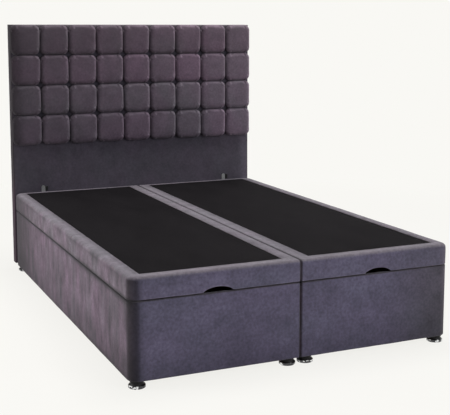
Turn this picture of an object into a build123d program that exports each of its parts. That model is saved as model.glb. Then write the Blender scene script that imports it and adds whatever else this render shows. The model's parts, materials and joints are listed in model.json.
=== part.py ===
from build123d import *
import math
import os

os.makedirs("parts", exist_ok=True)

# A divan bed in two long halves, each a storage box under a lid that lifts at the foot end, with a
# tall headboard covered in cube pads. Millimetres. X runs across the bed, Y towards the headboard
# and Z up. The origin is on the floor under the middle of the whole bed.

# Bed
bed_width = 1350.0
bed_length = 1900.0
halves_gap = 2.0
glide_height = 28.0
box_top = 320.0
lid_gap = 4.0
lid_depth = 82.0
outer_corner_radius = 42.0
join_corner_radius = 8.0
fit_gap = 0.3
overrun = 5.0

# Timber and board
board_thickness = 18.0
post_size = 50.0
batten_width = 45.0
batten_height = 20.0
floor_thickness = 4.0
floor_gap = 1.0
lid_board_thickness = 4.0
floor_batten_count = 4
lid_batten_count = 5
lid_batten_first = 320.0
lid_batten_height = 18.0

# Velvet and cloth
cover_thickness = 3.0
cover_turn = 2.0
box_rim_radius = 2.5
lid_roll_radius = 16.0
join_roll_radius = 7.5
border_side = 54.0
border_foot = 50.0
border_head = 35.0
lid_wadding = 8.0
cloth_corner_radius = 8.0
cloth_drop = 1.0

# Hand-hold in the foot end of each lid
handhold_width = 122.0
handhold_height = 19.5
handhold_centre_drop = 10.0

# Glides
glide_inset = 37.0
hub_radius = 27.0
hub_waist_radius = 24.5
hub_foot_height = 13.0
hub_flange_height = 5.0
hub_flare_height = 3.0
hub_boss_radius = 10.0
ring_wall = 4.5
ring_height = 11.0
ring_edge_chamfer = 1.5
ring_gap = 0.2

# Rubber buffers
buffer_width = 14.0
buffer_length = 50.0
buffer_end_inset = 200.0

# Lift mechanism: each pivot is (distance from the head end, height above the floor)
front_pivot = (580.0, 262.0)
rear_pivot = (268.0, 287.0)
strut_foot = (336.0, 87.0)
lid_front_pivot = (164.0, 369.0)
lid_rear_pivot = (79.0, 369.0)
strut_head_share = 0.70
plate_thickness = 3.0
collar_length = 3.0
arm_thickness = 4.0
arm_gap = 0.3
arm_width = 24.0
eye_radius = 15.0
pin_radius = 5.0
pin_collar_radius = 8.0
pin_head_radius = 9.5
pin_head_length = 3.0
open_pivot_play = 2.8
bracket_radius = 22.0
bracket_window_radius = 14.0
bracket_window_shares = (0.34, 0.30, 0.42)
lid_plate_radius = 14.0
lid_plate_tail = 262.0
lid_plate_screws = (118.0, 205.0, 240.0)
screw_head_radius = 6.0
screw_head_height = 2.4
screw_dome_share = 0.6
bracket_screw_shares = (0.36, 0.70)

# Gas struts
strut_plane = 46.0
strut_eye_width = 12.0
strut_eye_radius = 10.0
stud_radius = 4.0
stud_collar_radius = 7.0
stud_head_length = 3.0
stud_gap = 0.3
strut_play = 0.8
cylinder_radius = 9.0
cylinder_nose_chamfer = 2.5
cylinder_length = 200.0
cylinder_floor = 26.0
rod_radius = 4.0
rod_tail_gap = 6.0
neck_radius = 5.5

# Headboard
headboard_height = 1280.0
headboard_bottom = 30.0
headboard_gap = 6.0
headboard_depth = 55.0
headboard_wadding = 8.0
headboard_edge_radius = 6.0
panel_thickness = 18.0
lining_thickness = 1.0
lining_border = 40.0
upright_count = 4
cube_columns = 9
cube_rows = 4
cube_zone_bottom = 655.0
cube_depth = 38.0
cube_gap = 0.6
cube_depth_shares = (0.0, 0.30, 0.62, 0.86, 1.0)
cube_inset_shares = (0.018, 0.0, 0.028, 0.10, 0.25)
cube_round_shares = (0.12, 0.14, 0.17, 0.20, 0.21)

# Straps between the headboard and the box
strap_offset = 520.0
strap_width = 20.0
strap_thickness = 3.0
strap_bottom = 230.0
strap_above_lid = 31.0
strap_bolt_height = 276.0
spacer_radius = 11.0
spacer_bore = 4.5
knob_width = 14.0
knob_height = 24.0
knob_depth = 8.0
knob_above_lid = 3.0
knob_edge_radius = 2.5

# Link bars under the box
link_bar_length = 112.0
link_bar_width = 25.0
link_bar_thickness = 3.0
link_bar_inset = 100.0
link_hole_radius = 3.0
link_screw_radius = 2.7
link_head_radius = 5.5
link_head_height = 2.5

# Worked out from the sizes above
half_width = (bed_width - halves_gap) / 2
lid_bottom = box_top + lid_gap
lid_top = lid_bottom + lid_depth
total_depth = bed_length + headboard_gap + headboard_depth
foot_y = -total_depth / 2
head_y = foot_y + bed_length
mid_y = (foot_y + head_y) / 2
side_inner = cover_thickness + board_thickness
carcass_width = half_width - 2 * cover_thickness
carcass_length = bed_length - 2 * cover_thickness
inner_width = half_width - 2 * side_inner
inner_length = bed_length - 2 * side_inner
box_board_bottom = glide_height + cover_turn
box_board_top = box_top - cover_turn
floor_bottom = box_board_bottom + batten_height
lid_rail_bottom = lid_bottom + cover_turn
lid_cloth_bottom = lid_top - lid_wadding
lid_board_bottom = lid_cloth_bottom - lid_board_thickness
headboard_front_y = head_y + headboard_gap
headboard_back_y = headboard_front_y + headboard_depth
panel_front_y = headboard_front_y + headboard_wadding
frame_front_y = panel_front_y + panel_thickness
frame_back_y = headboard_back_y - lining_thickness
panel_bottom = headboard_bottom + cover_thickness
panel_top = headboard_height - cover_thickness
lining_bottom = headboard_bottom + lining_border
lining_top = headboard_height - lining_border
outward = {"left": -1, "right": 1}
halves = {half: way * (halves_gap + half_width) / 2 for half, way in outward.items()}
sides = (-1, 1)
ends = (-1, 1)

# Layers of the mechanism, measured inwards from the outer face of a half
plate_start = side_inner
plate_end = plate_start + plate_thickness
arm_start = plate_end + collar_length + arm_gap
arm_end = arm_start + arm_thickness
pin_head_start = arm_end + arm_gap
pin_head_end = pin_head_start + pin_head_length
strut_start = strut_plane - strut_eye_width / 2
strut_end = strut_plane + strut_eye_width / 2
strut_head_start = strut_end + stud_gap
strut_head_end = strut_head_start + stud_head_length


def between(first, last, share):
    """The point at a share of the way from one point to another."""
    return (first[0] + (last[0] - first[0]) * share, first[1] + (last[1] - first[1]) * share)


strut_head = between(front_pivot, lid_front_pivot, strut_head_share)


def block(x_range, y_range, z_range):
    """A plain board between the given limits."""
    width = x_range[1] - x_range[0]
    length = y_range[1] - y_range[0]
    height = z_range[1] - z_range[0]
    centre = ((x_range[0] + x_range[1]) / 2, (y_range[0] + y_range[1]) / 2, (z_range[0] + z_range[1]) / 2)
    return Pos(*centre) * Box(width, length, height)


def centred(middle, size):
    """The limits of a length centred on a place."""
    return (middle - size / 2, middle + size / 2)


def half_plan(half, inset):
    """The plan of one half, drawn in by the inset: large outer corners, small ones at the join."""
    plan = Rectangle(half_width - 2 * inset, bed_length - 2 * inset)
    for way, radius in ((outward[half], outer_corner_radius), (-outward[half], join_corner_radius)):
        corners = sorted(plan.vertices(), key=lambda corner: way * corner.X)[-2:]
        plan = fillet(corners, radius - inset)
    return plan


def half_prism(half, inset, z_range):
    """A prism with the plan of one half, drawn in by the inset."""
    plan = half_plan(half, inset)
    return Pos(halves[half], mid_y, z_range[0]) * extrude(plan, amount=z_range[1] - z_range[0])


def corner_posts(half, z_range):
    """Four posts, each with its outer corner rounded like the plan of its half."""
    plan = half_plan(half, cover_thickness)
    posts = []
    for side in sides:
        for end in ends:
            centre = (side * (carcass_width - post_size) / 2, end * (carcass_length - post_size) / 2)
            outline = plan & Pos(*centre) * Rectangle(post_size, post_size)
            post = extrude(outline, amount=z_range[1] - z_range[0])
            posts.append(Pos(halves[half], mid_y, z_range[0]) * post)
    return posts


def long_boards(half, z_range):
    """The two boards that run along the sides, between the corner posts."""
    boards = []
    for side in sides:
        middle = halves[half] + side * (carcass_width - board_thickness) / 2
        run = centred(mid_y, carcass_length - 2 * post_size)
        boards.append(block(centred(middle, board_thickness), run, z_range))
    return boards


def end_board(half, end, z_range):
    """A board across one end, between the corner posts."""
    middle = mid_y + end * (carcass_length - board_thickness) / 2
    run = centred(halves[half], carcass_width - 2 * post_size)
    return block(run, centred(middle, board_thickness), z_range)


def box_cover(half):
    """The velvet round the box, turned over the top and bottom edges of the boards."""
    skin = half_prism(half, 0, (glide_height, box_top))
    rims = skin.edges().filter_by(Plane.XY)
    skin = fillet(rims, box_rim_radius)
    skin -= half_prism(half, cover_thickness, (box_board_bottom, box_board_top))
    window = Box(inner_width, inner_length, box_top * 2)
    return skin - Pos(halves[half], mid_y, 0) * window


def floor_battens(half):
    """Battens across the box that carry the storage floor."""
    pitch = (inner_length - 2 * post_size) / floor_batten_count
    battens = []
    for number in range(floor_batten_count):
        middle = mid_y + pitch * (number - (floor_batten_count - 1) / 2)
        x_range = centred(halves[half], inner_width)
        battens.append(block(x_range, centred(middle, batten_width), (box_board_bottom, floor_bottom)))
    return battens


def floor_panel(half):
    """The storage floor, notched round the corner posts."""
    width = inner_width - 2 * floor_gap
    length = inner_length - 2 * floor_gap
    notch = 2 * (post_size - board_thickness)
    plan = Rectangle(width, length)
    for side in sides:
        for end in ends:
            plan -= Pos(side * width / 2, end * length / 2) * Rectangle(notch, notch)
    return Pos(halves[half], mid_y, floor_bottom) * extrude(plan, amount=floor_thickness)


def handhold_cutter(half):
    """The top of an oval, centred below the edge, cut through the foot end of the lid."""
    full_height = handhold_height + handhold_centre_drop
    full_width = handhold_width / math.sqrt(1 - (handhold_centre_drop / full_height) ** 2)
    outline = Ellipse(full_width / 2, full_height)
    reach = side_inner + 2 * overrun
    cutter = Rot(90, 0, 0) * extrude(outline, amount=reach)
    return Pos(halves[half], foot_y + reach - overrun, lid_bottom - handhold_centre_drop) * cutter


def lid_form(half):
    """The outer form of a lid: a full roll over its outer edges and a tighter one at the join."""
    way = outward[half]
    past_edge = 2 * outer_corner_radius
    width = half_width + past_edge
    outer_plan = RectangleRounded(width, bed_length, outer_corner_radius)
    outer = Pos(-way * past_edge / 2, 0) * extrude(outer_plan, amount=lid_depth)
    outer = fillet(outer.faces().sort_by(Axis.Z)[-1].edges(), lid_roll_radius)
    join_plan = Pos(way * past_edge / 2, 0) * Rectangle(width, bed_length)
    corners = sorted(join_plan.vertices(), key=lambda corner: way * corner.X)[:2]
    joined = extrude(fillet(corners, join_corner_radius), amount=lid_depth)
    top_edges = joined.faces().sort_by(Axis.Z)[-1].edges()
    joined = fillet(min(top_edges, key=lambda edge: way * edge.center().X), join_roll_radius)
    return Pos(halves[half], mid_y, lid_bottom) * (outer & joined)


def lid_cover(half):
    """The velvet of the lid: rolled top edge, padded border and turned lower edge."""
    skin = lid_form(half)
    skin -= half_prism(half, cover_thickness, (lid_rail_bottom, lid_cloth_bottom))
    window = Box(inner_width, inner_length, 2 * cover_turn + overrun)
    skin -= Pos(halves[half], mid_y, lid_bottom) * window
    skin -= cloth_block(half, 0, (lid_cloth_bottom - overrun, lid_top + overrun))
    return skin - handhold_cutter(half)


def cloth_block(half, gap, z_range):
    """The rectangle of cloth inside the velvet border of a lid."""
    width = half_width - 2 * border_side - 2 * gap
    length = bed_length - border_foot - border_head - 2 * gap
    middle = mid_y + (border_foot - border_head) / 2
    plan = RectangleRounded(width, length, cloth_corner_radius)
    return Pos(halves[half], middle, z_range[0]) * extrude(plan, amount=z_range[1] - z_range[0])


def lid_board(half):
    """The board that closes the top of the lid frame."""
    return half_prism(half, cover_thickness, (lid_board_bottom, lid_cloth_bottom))


def lid_battens(half):
    """Battens across the lid that stiffen its board."""
    last = bed_length - side_inner - batten_width
    pitch = (last - lid_batten_first) / lid_batten_count
    battens = []
    for number in range(lid_batten_count):
        middle = head_y - lid_batten_first - pitch * number
        z_range = (lid_board_bottom - lid_batten_height, lid_board_bottom)
        battens.append(block(centred(halves[half], inner_width), centred(middle, batten_width), z_range))
    return battens


def glide_places():
    """Where the eight glides stand."""
    places = []
    for middle in halves.values():
        for side in sides:
            for end in ends:
                x = middle + side * (half_width / 2 - glide_inset)
                places.append((x, mid_y + end * (bed_length / 2 - glide_inset)))
    return places


def glide_hub():
    """A moulded hub with a drawn-in waist and a boss that meets the corner post."""
    flange_bottom = glide_height - hub_flange_height
    points = [
        (0, 0),
        (hub_radius, 0),
        (hub_radius, hub_foot_height),
        (hub_waist_radius, hub_foot_height + hub_flare_height),
        (hub_waist_radius, flange_bottom - hub_flare_height),
        (hub_radius, flange_bottom),
        (hub_radius, glide_height),
        (hub_boss_radius, glide_height),
        (hub_boss_radius, box_board_bottom),
        (0, box_board_bottom),
    ]
    profile = Plane.XZ * make_face(Polyline(*points, close=True))
    return revolve(profile, Axis.Z)


def glide_ring():
    """The bright ring round the foot of a hub."""
    inner = hub_radius + ring_gap
    outer = inner + ring_wall
    section = Pos((inner + outer) / 2, ring_height / 2) * Rectangle(ring_wall, ring_height)
    section = chamfer(section.vertices().group_by(Axis.X)[-1], ring_edge_chamfer)
    return revolve(Plane.XZ * section, Axis.Z)


def lid_buffers():
    """Rubber pads on the top edges of the boxes."""
    z_range = (box_top, lid_bottom - fit_gap)
    places = (foot_y + buffer_end_inset, mid_y, head_y - buffer_end_inset)
    pads = []
    for middle in halves.values():
        for side in sides:
            x = middle + side * (half_width / 2 - side_inner / 2)
            for y in places:
                pads.append(block(centred(x, buffer_width), centred(y, buffer_length), z_range))
    return pads


def layer(profile, half, side, start, end):
    """Extrude a side view of the mechanism between two depths from one outer face of a half."""
    face_x = halves[half] + side * (half_width / 2 - start)
    view = Plane(origin=(face_x, head_y, 0), x_dir=(0, -1, 0), z_dir=(-1, 0, 0))
    return extrude(view * profile, amount=side * (end - start))


def disc(centre, radius):
    """A round outline in the side view."""
    return Pos(*centre) * Circle(radius)


def hull_of(places, radius):
    """The outline of a band stretched round equal discs."""
    edges = ShapeList()
    for place in places:
        edges += disc(place, radius).edges()
    return make_hull(edges)


def arm_profile(first, last):
    """A flat arm with an eye at each end."""
    band = hull_of((first, last), arm_width / 2)
    return band + disc(first, eye_radius) + disc(last, eye_radius)


def base_bracket(half, side):
    """The pressed plate on the box that carries both arms and the foot of the strut."""
    pivots = (rear_pivot, front_pivot, strut_foot)
    plate = hull_of(pivots, bracket_radius)
    middle_run = sum(pivot[0] for pivot in pivots) / len(pivots)
    middle_height = sum(pivot[1] for pivot in pivots) / len(pivots)
    corners = []
    for pivot, share in zip(pivots, bracket_window_shares):
        corners.append(between((middle_run, middle_height), pivot, share))
    plate -= hull_of(corners, bracket_window_radius)
    return layer(plate, half, side, plate_start, plate_end)


def bracket_screw_places():
    """Screws on the two webs that run to the foot of the strut."""
    places = []
    for pivot in (rear_pivot, front_pivot):
        for share in bracket_screw_shares:
            places.append(between(pivot, strut_foot, share))
    return places


def screw_head(place, half, side):
    """A low domed head on the face of a plate."""
    waist = plate_end + screw_head_height * screw_dome_share
    head = layer(disc(place, screw_head_radius), half, side, plate_end, waist)
    crown = disc(place, screw_head_radius - screw_head_height * screw_dome_share)
    return head + layer(crown, half, side, waist, plate_end + screw_head_height)


def pivot_pin(place, half, side):
    """A riveted pin: collar, shank and head."""
    pin = layer(disc(place, pin_collar_radius), half, side, plate_end, plate_end + collar_length)
    pin += layer(disc(place, pin_radius), half, side, plate_end + collar_length, pin_head_start)
    return pin + layer(disc(place, pin_head_radius), half, side, pin_head_start, pin_head_end)


def strut_stud(place, half, side, start):
    """A stud for the eye of a gas strut, standing on the face at the given depth."""
    stud = layer(disc(place, stud_collar_radius), half, side, start, strut_start - stud_gap)
    stud += layer(disc(place, stud_radius), half, side, strut_start - stud_gap, strut_head_start)
    return stud + layer(disc(place, stud_collar_radius), half, side, strut_head_start, strut_head_end)


def front_arm(half, side):
    """The long arm that lifts the lid, with the stud for the strut riveted to it."""
    profile = arm_profile(front_pivot, lid_front_pivot)
    profile -= disc(front_pivot, pin_radius + arm_gap)
    profile -= disc(lid_front_pivot, pin_radius + arm_gap)
    arm = layer(profile, half, side, arm_start, arm_end)
    return arm + strut_stud(strut_head, half, side, arm_end)


def rear_arm(half, side):
    """The short arm that steers the head end of the lid; its upper eye is wide."""
    profile = arm_profile(rear_pivot, lid_rear_pivot)
    profile -= disc(rear_pivot, pin_radius + arm_gap)
    profile -= disc(lid_rear_pivot, pin_radius + open_pivot_play)
    return layer(profile, half, side, arm_start, arm_end)


def lid_plate(half, side):
    """The plate on the side rail of the lid that carries both arms."""
    tail = (lid_plate_tail - lid_plate_radius, lid_rear_pivot[1])
    return layer(hull_of((lid_rear_pivot, tail), lid_plate_radius), half, side, plate_start, plate_end)


def strut_frame(half, side):
    """A frame at the foot of a strut, with Z along it and X across the bed."""
    run = (strut_head[0] - strut_foot[0], strut_head[1] - strut_foot[1])
    length = math.hypot(*run)
    x = halves[half] + side * (half_width / 2 - strut_plane)
    origin = (x, head_y - strut_foot[0], strut_foot[1])
    return Plane(origin=origin, x_dir=(1, 0, 0), z_dir=(0, -run[0] / length, run[1] / length)), length


def strut_eye(bore):
    """The eye at the end of a strut."""
    ring = Circle(strut_eye_radius) - Circle(bore)
    return Pos(-strut_eye_width / 2, 0, 0) * Rot(0, 90, 0) * extrude(ring, amount=strut_eye_width)


def post_along(radius, start, end):
    """A round bar along a strut between two distances from its foot."""
    return Pos(0, 0, start) * extrude(Circle(radius), amount=end - start)


def gas_cylinder(half, side):
    """The cylinder of a gas strut, open at the top for the rod."""
    frame, length = strut_frame(half, side)
    neck_start = math.sqrt(strut_eye_radius ** 2 - neck_radius ** 2)
    neck_end = strut_eye_radius + rod_tail_gap
    tube = post_along(cylinder_radius, neck_end, cylinder_length)
    tube = chamfer(tube.edges().filter_by(GeomType.CIRCLE), cylinder_nose_chamfer)
    body = strut_eye(stud_radius + stud_gap) + post_along(neck_radius, neck_start, neck_end) + tube
    body -= post_along(rod_radius + stud_gap, cylinder_floor, cylinder_length + overrun)
    return frame * body


def gas_rod(half, side):
    """The rod of a gas strut with its upper eye."""
    frame, length = strut_frame(half, side)
    neck_end = length - math.sqrt(strut_eye_radius ** 2 - neck_radius ** 2)
    neck_start = neck_end - rod_tail_gap
    bar = post_along(rod_radius, cylinder_floor + rod_tail_gap, neck_start)
    bar += post_along(neck_radius, neck_start, neck_end)
    return frame * (bar + Pos(0, 0, length) * strut_eye(stud_radius + strut_play + stud_gap))


def headboard_cover():
    """The velvet of the headboard, wrapped round the edges on to the back."""
    x_range = centred(0, bed_width)
    skin = block(x_range, (headboard_front_y, headboard_back_y), (headboard_bottom, headboard_height))
    front_rim = skin.faces().sort_by(Axis.Y)[0].edges()
    skin = fillet(front_rim, headboard_edge_radius)
    inside = centred(0, bed_width - 2 * cover_thickness)
    skin -= block(inside, (panel_front_y, frame_back_y), (panel_bottom, panel_top))
    window = centred(0, bed_width - 2 * lining_border)
    return skin - block(window, (frame_front_y, headboard_back_y + overrun), (lining_bottom, lining_top))


def headboard_panel():
    """The panel behind the pads."""
    x_range = centred(0, bed_width - 2 * cover_thickness)
    return block(x_range, (panel_front_y, frame_front_y), (panel_bottom, panel_top))


def headboard_rails():
    """The top and bottom rails on the back of the panel."""
    x_range = centred(0, bed_width - 2 * cover_thickness)
    depth = (frame_front_y, frame_back_y)
    low = (panel_bottom, panel_bottom + batten_width)
    return [block(x_range, depth, low), block(x_range, depth, (panel_top - batten_width, panel_top))]


def headboard_uprights():
    """The uprights between the rails."""
    z_range = (panel_bottom + batten_width, panel_top - batten_width)
    reach = bed_width - 2 * cover_thickness - batten_width
    uprights = []
    for number in range(upright_count):
        middle = -reach / 2 + reach * number / (upright_count - 1)
        uprights.append(block(centred(middle, batten_width), (frame_front_y, frame_back_y), z_range))
    return uprights


def headboard_lining():
    """The lining cloth stapled over the back."""
    x_range = centred(0, bed_width - 2 * lining_border - 2 * fit_gap)
    z_range = (lining_bottom + fit_gap, lining_top - fit_gap)
    return block(x_range, (frame_back_y, headboard_back_y), z_range)


def cube_pad():
    """One crowned pad, drawn in at the back and domed at the front, lying face up."""
    width = bed_width / cube_columns - cube_gap
    height = (headboard_height - cube_zone_bottom) / cube_rows - cube_gap
    span = min(width, height)
    rings = []
    ring_shares = zip(cube_depth_shares, cube_inset_shares, cube_round_shares)
    for depth_share, inset_share, round_share in ring_shares:
        inset = inset_share * span
        outline = RectangleRounded(width - 2 * inset, height - 2 * inset, round_share * span)
        rings.append(Pos(0, 0, depth_share * cube_depth) * outline)
    return loft(Sketch() + rings, ruled=True)


def headboard_cubes():
    """All pads of the headboard in their rows and columns."""
    pad = Rot(90, 0, 0) * cube_pad()
    column_pitch = bed_width / cube_columns
    row_pitch = (headboard_height - cube_zone_bottom) / cube_rows
    pads = []
    for column in range(cube_columns):
        for row in range(cube_rows):
            x = -bed_width / 2 + column_pitch * (column + 1 / 2)
            z = cube_zone_bottom + row_pitch * (row + 1 / 2)
            pads.append(Pos(x, headboard_front_y, z) * pad)
    return pads


def upright_strap(side):
    """A flat strap with a round top that ties the headboard to the box."""
    middle = side * strap_offset
    top = lid_top + strap_above_lid
    slot = SlotOverall(top - strap_bottom, strap_width, rotation=90)
    outline = Pos(middle, (strap_bottom + top) / 2) * slot
    outline -= Pos(middle, strap_bolt_height) * Circle(spacer_bore)
    return Pos(0, headboard_front_y, 0) * Rot(90, 0, 0) * extrude(outline, amount=strap_thickness)


def strap_spacer(side):
    """A round spacer between the strap and the head end of the box."""
    ring = Circle(spacer_radius) - Circle(spacer_bore)
    length = headboard_gap - strap_thickness
    spacer = Rot(90, 0, 0) * extrude(ring, amount=length)
    return Pos(side * strap_offset, head_y + length, strap_bolt_height) * spacer


def strap_knob(side):
    """The black knob beside the top of a strap."""
    low = side * strap_offset + strap_width / 2
    base = lid_top + knob_above_lid
    depth = (headboard_front_y - knob_depth, headboard_front_y)
    knob = block((low, low + knob_width), depth, (base, base + knob_height))
    front = knob.faces().sort_by(Axis.Y)[0].edges()
    return fillet(front, knob_edge_radius)


def link_bar(end):
    """A flat bar under both halves that holds them together."""
    middle = mid_y + end * (bed_length / 2 - link_bar_inset)
    plan = SlotOverall(link_bar_length, link_bar_width)
    for side in sides:
        plan -= Pos(side * link_screw_place()) * Circle(link_hole_radius)
    return Pos(0, middle, glide_height - link_bar_thickness) * extrude(plan, amount=link_bar_thickness)


def link_screw_place():
    """The distance of a link screw from the middle of the bed: under the middle of a side board."""
    return halves_gap / 2 + cover_thickness + board_thickness / 2


def link_screw(side, end):
    """A screw through a link bar."""
    middle = mid_y + end * (bed_length / 2 - link_bar_inset)
    bar_bottom = glide_height - link_bar_thickness
    head_disc = extrude(Circle(link_head_radius), amount=link_head_height)
    head = Pos(0, 0, bar_bottom - link_head_height) * head_disc
    shank = Pos(0, 0, bar_bottom) * extrude(Circle(link_screw_radius), amount=link_bar_thickness)
    return Pos(side * link_screw_place(), middle, 0) * (head + shank)


def save(name, pieces):
    """Write one node as a STEP file."""
    solids = pieces if isinstance(pieces, list) else [pieces]
    shape = solids[0]
    if len(solids) > 1:
        shape = Compound(children=[Compound(solid.wrapped) for solid in solids])
    export_step(shape, f"parts/{name}.step")


def both_sides(make, half, *places):
    """Make a piece on both sides of a half, once for each place."""
    if not places:
        return [make(half, side) for side in sides]
    return [make(place, half, side) for side in sides for place in places]


# Each half of the bed
for half in halves:
    box_height = (box_board_bottom, box_board_top)
    save(f"box_side_boards_{half}", long_boards(half, box_height))
    save(f"box_end_boards_{half}", [end_board(half, end, box_height) for end in ends])
    save(f"box_corner_posts_{half}", corner_posts(half, box_height))
    save(f"box_floor_battens_{half}", floor_battens(half))
    save(f"box_floor_panel_{half}", floor_panel(half))
    save(f"box_cover_{half}", box_cover(half))
    save(f"base_brackets_{half}", both_sides(base_bracket, half))
    pins = both_sides(pivot_pin, half, rear_pivot, front_pivot)
    pins += [strut_stud(strut_foot, half, side, plate_end) for side in sides]
    save(f"bracket_pins_{half}", pins)
    save(f"front_arms_{half}", both_sides(front_arm, half))
    save(f"rear_arms_{half}", both_sides(rear_arm, half))
    save(f"gas_cylinders_{half}", both_sides(gas_cylinder, half))
    save(f"gas_rods_{half}", both_sides(gas_rod, half))
    rail_height = (lid_rail_bottom, lid_board_bottom)
    save(f"lid_side_rails_{half}", long_boards(half, rail_height))
    foot_rail = end_board(half, -1, rail_height) - handhold_cutter(half)
    save(f"lid_end_rails_{half}", [foot_rail, end_board(half, 1, rail_height)])
    save(f"lid_corner_posts_{half}", corner_posts(half, rail_height))
    save(f"lid_battens_{half}", lid_battens(half))
    save(f"lid_board_{half}", lid_board(half))
    save(f"lid_cover_{half}", lid_cover(half))
    save(f"lid_cloth_{half}", cloth_block(half, fit_gap, (lid_cloth_bottom, lid_top - cloth_drop)))
    save(f"lid_plates_{half}", both_sides(lid_plate, half))
    save(f"lid_pins_{half}", both_sides(pivot_pin, half, lid_rear_pivot, lid_front_pivot))
    screw_places = [(place, lid_rear_pivot[1]) for place in lid_plate_screws]
    save(f"lid_plate_screws_{half}", both_sides(screw_head, half, *screw_places))

# Small parts shared by both halves
save("glide_hubs", [Pos(*place) * glide_hub() for place in glide_places()])
save("glide_rings", [Pos(*place) * glide_ring() for place in glide_places()])
save("lid_buffers", lid_buffers())
bracket_screws = []
for half in halves:
    bracket_screws += both_sides(screw_head, half, *bracket_screw_places())
save("bracket_screws", bracket_screws)
save("link_bars", [link_bar(end) for end in ends])
save("link_screws", [link_screw(side, end) for side in sides for end in ends])

# Headboard
save("headboard_cover", headboard_cover())
save("headboard_panel", headboard_panel())
save("headboard_rails", headboard_rails())
save("headboard_uprights", headboard_uprights())
save("headboard_lining", headboard_lining())
save("headboard_cubes", headboard_cubes())
save("headboard_straps", [upright_strap(side) for side in sides])
save("strap_spacers", [strap_spacer(side) for side in sides])
save("strap_knobs", [strap_knob(side) for side in sides])
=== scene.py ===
import json
import math
import random

import bmesh
import bpy
from mathutils import Euler, Matrix, Vector, noise


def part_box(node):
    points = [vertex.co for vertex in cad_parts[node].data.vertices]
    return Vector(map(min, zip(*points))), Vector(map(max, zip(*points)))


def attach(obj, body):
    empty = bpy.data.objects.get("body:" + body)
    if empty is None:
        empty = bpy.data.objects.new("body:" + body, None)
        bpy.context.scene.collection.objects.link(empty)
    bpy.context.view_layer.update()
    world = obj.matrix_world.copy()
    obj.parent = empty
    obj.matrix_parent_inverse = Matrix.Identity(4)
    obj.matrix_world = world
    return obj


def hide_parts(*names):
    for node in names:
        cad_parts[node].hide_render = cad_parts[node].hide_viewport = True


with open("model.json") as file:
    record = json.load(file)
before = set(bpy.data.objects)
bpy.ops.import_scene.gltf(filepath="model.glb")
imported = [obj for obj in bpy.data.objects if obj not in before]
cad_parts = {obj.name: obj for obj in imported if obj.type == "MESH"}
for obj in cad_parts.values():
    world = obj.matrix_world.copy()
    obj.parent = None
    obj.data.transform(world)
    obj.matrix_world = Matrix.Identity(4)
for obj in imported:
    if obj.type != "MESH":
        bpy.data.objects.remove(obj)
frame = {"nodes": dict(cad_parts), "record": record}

# The looks of a divan bed: velvet over two storage boxes and their lids, black cloth on the lids,
# a headboard of cube pads, and the timber, steel and plastic inside. Metres, in the frame's axes.

HALVES = ("left", "right")
X, Y, Z = 0, 1, 2
CLOSE = 1e-5

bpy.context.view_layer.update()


def add_object(name, data):
    """A new object in the scene, at the origin."""
    added = bpy.data.objects.new(name, data)
    bpy.context.scene.collection.objects.link(added)
    return added


# Camera

IMAGE_WIDTH = 450
IMAGE_HEIGHT = 415
PRINCIPAL_ROW = 150
FOCAL_PIXELS = 971
SENSOR_WIDTH = 36
CAMERA_PLACE = (-1.6946, -4.1044, 1.2696)
CAMERA_PITCH = -7.238
CAMERA_YAW = -23.871


def make_camera():
    """A camera at the photograph's viewing angle."""
    data = bpy.data.cameras.new("photo_camera")
    data.sensor_width = SENSOR_WIDTH
    data.lens = FOCAL_PIXELS / IMAGE_WIDTH * SENSOR_WIDTH
    data.shift_y = (PRINCIPAL_ROW - IMAGE_HEIGHT / 2) / IMAGE_WIDTH
    camera = add_object("photo_camera", data)
    camera.location = CAMERA_PLACE
    camera.rotation_euler = Euler((math.radians(90 + CAMERA_PITCH), 0, math.radians(CAMERA_YAW)))
    bpy.context.scene.camera = camera


make_camera()


# Finishes

# The sockets of a Mix node that mixes colours: its share, its two colours, and its result
MIX_SHARE, MIX_FIRST, MIX_SECOND, MIX_RESULT = 0, 6, 7, 2


def set_sockets(node, values):
    """Set the numbers and colours on a node's own sockets."""
    for socket, value in values.items():
        node.inputs[socket].default_value = value


def calculate(tree, operation, first, second):
    """Arithmetic on two patterns; the second may be a number."""
    node = tree.nodes.new("ShaderNodeMath")
    node.operation = operation
    tree.links.new(first, node.inputs[0])
    if isinstance(second, (int, float)):
        node.inputs[1].default_value = second
    else:
        tree.links.new(second, node.inputs[1])
    return node.outputs["Value"]


def map_range(tree, value, old, new):
    """Map a range of values on to another, held at its ends."""
    node = tree.nodes.new("ShaderNodeMapRange")
    set_sockets(node, dict(zip(("From Min", "From Max", "To Min", "To Max"), (*old, *new))))
    tree.links.new(value, node.inputs["Value"])
    return node.outputs["Result"]


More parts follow.
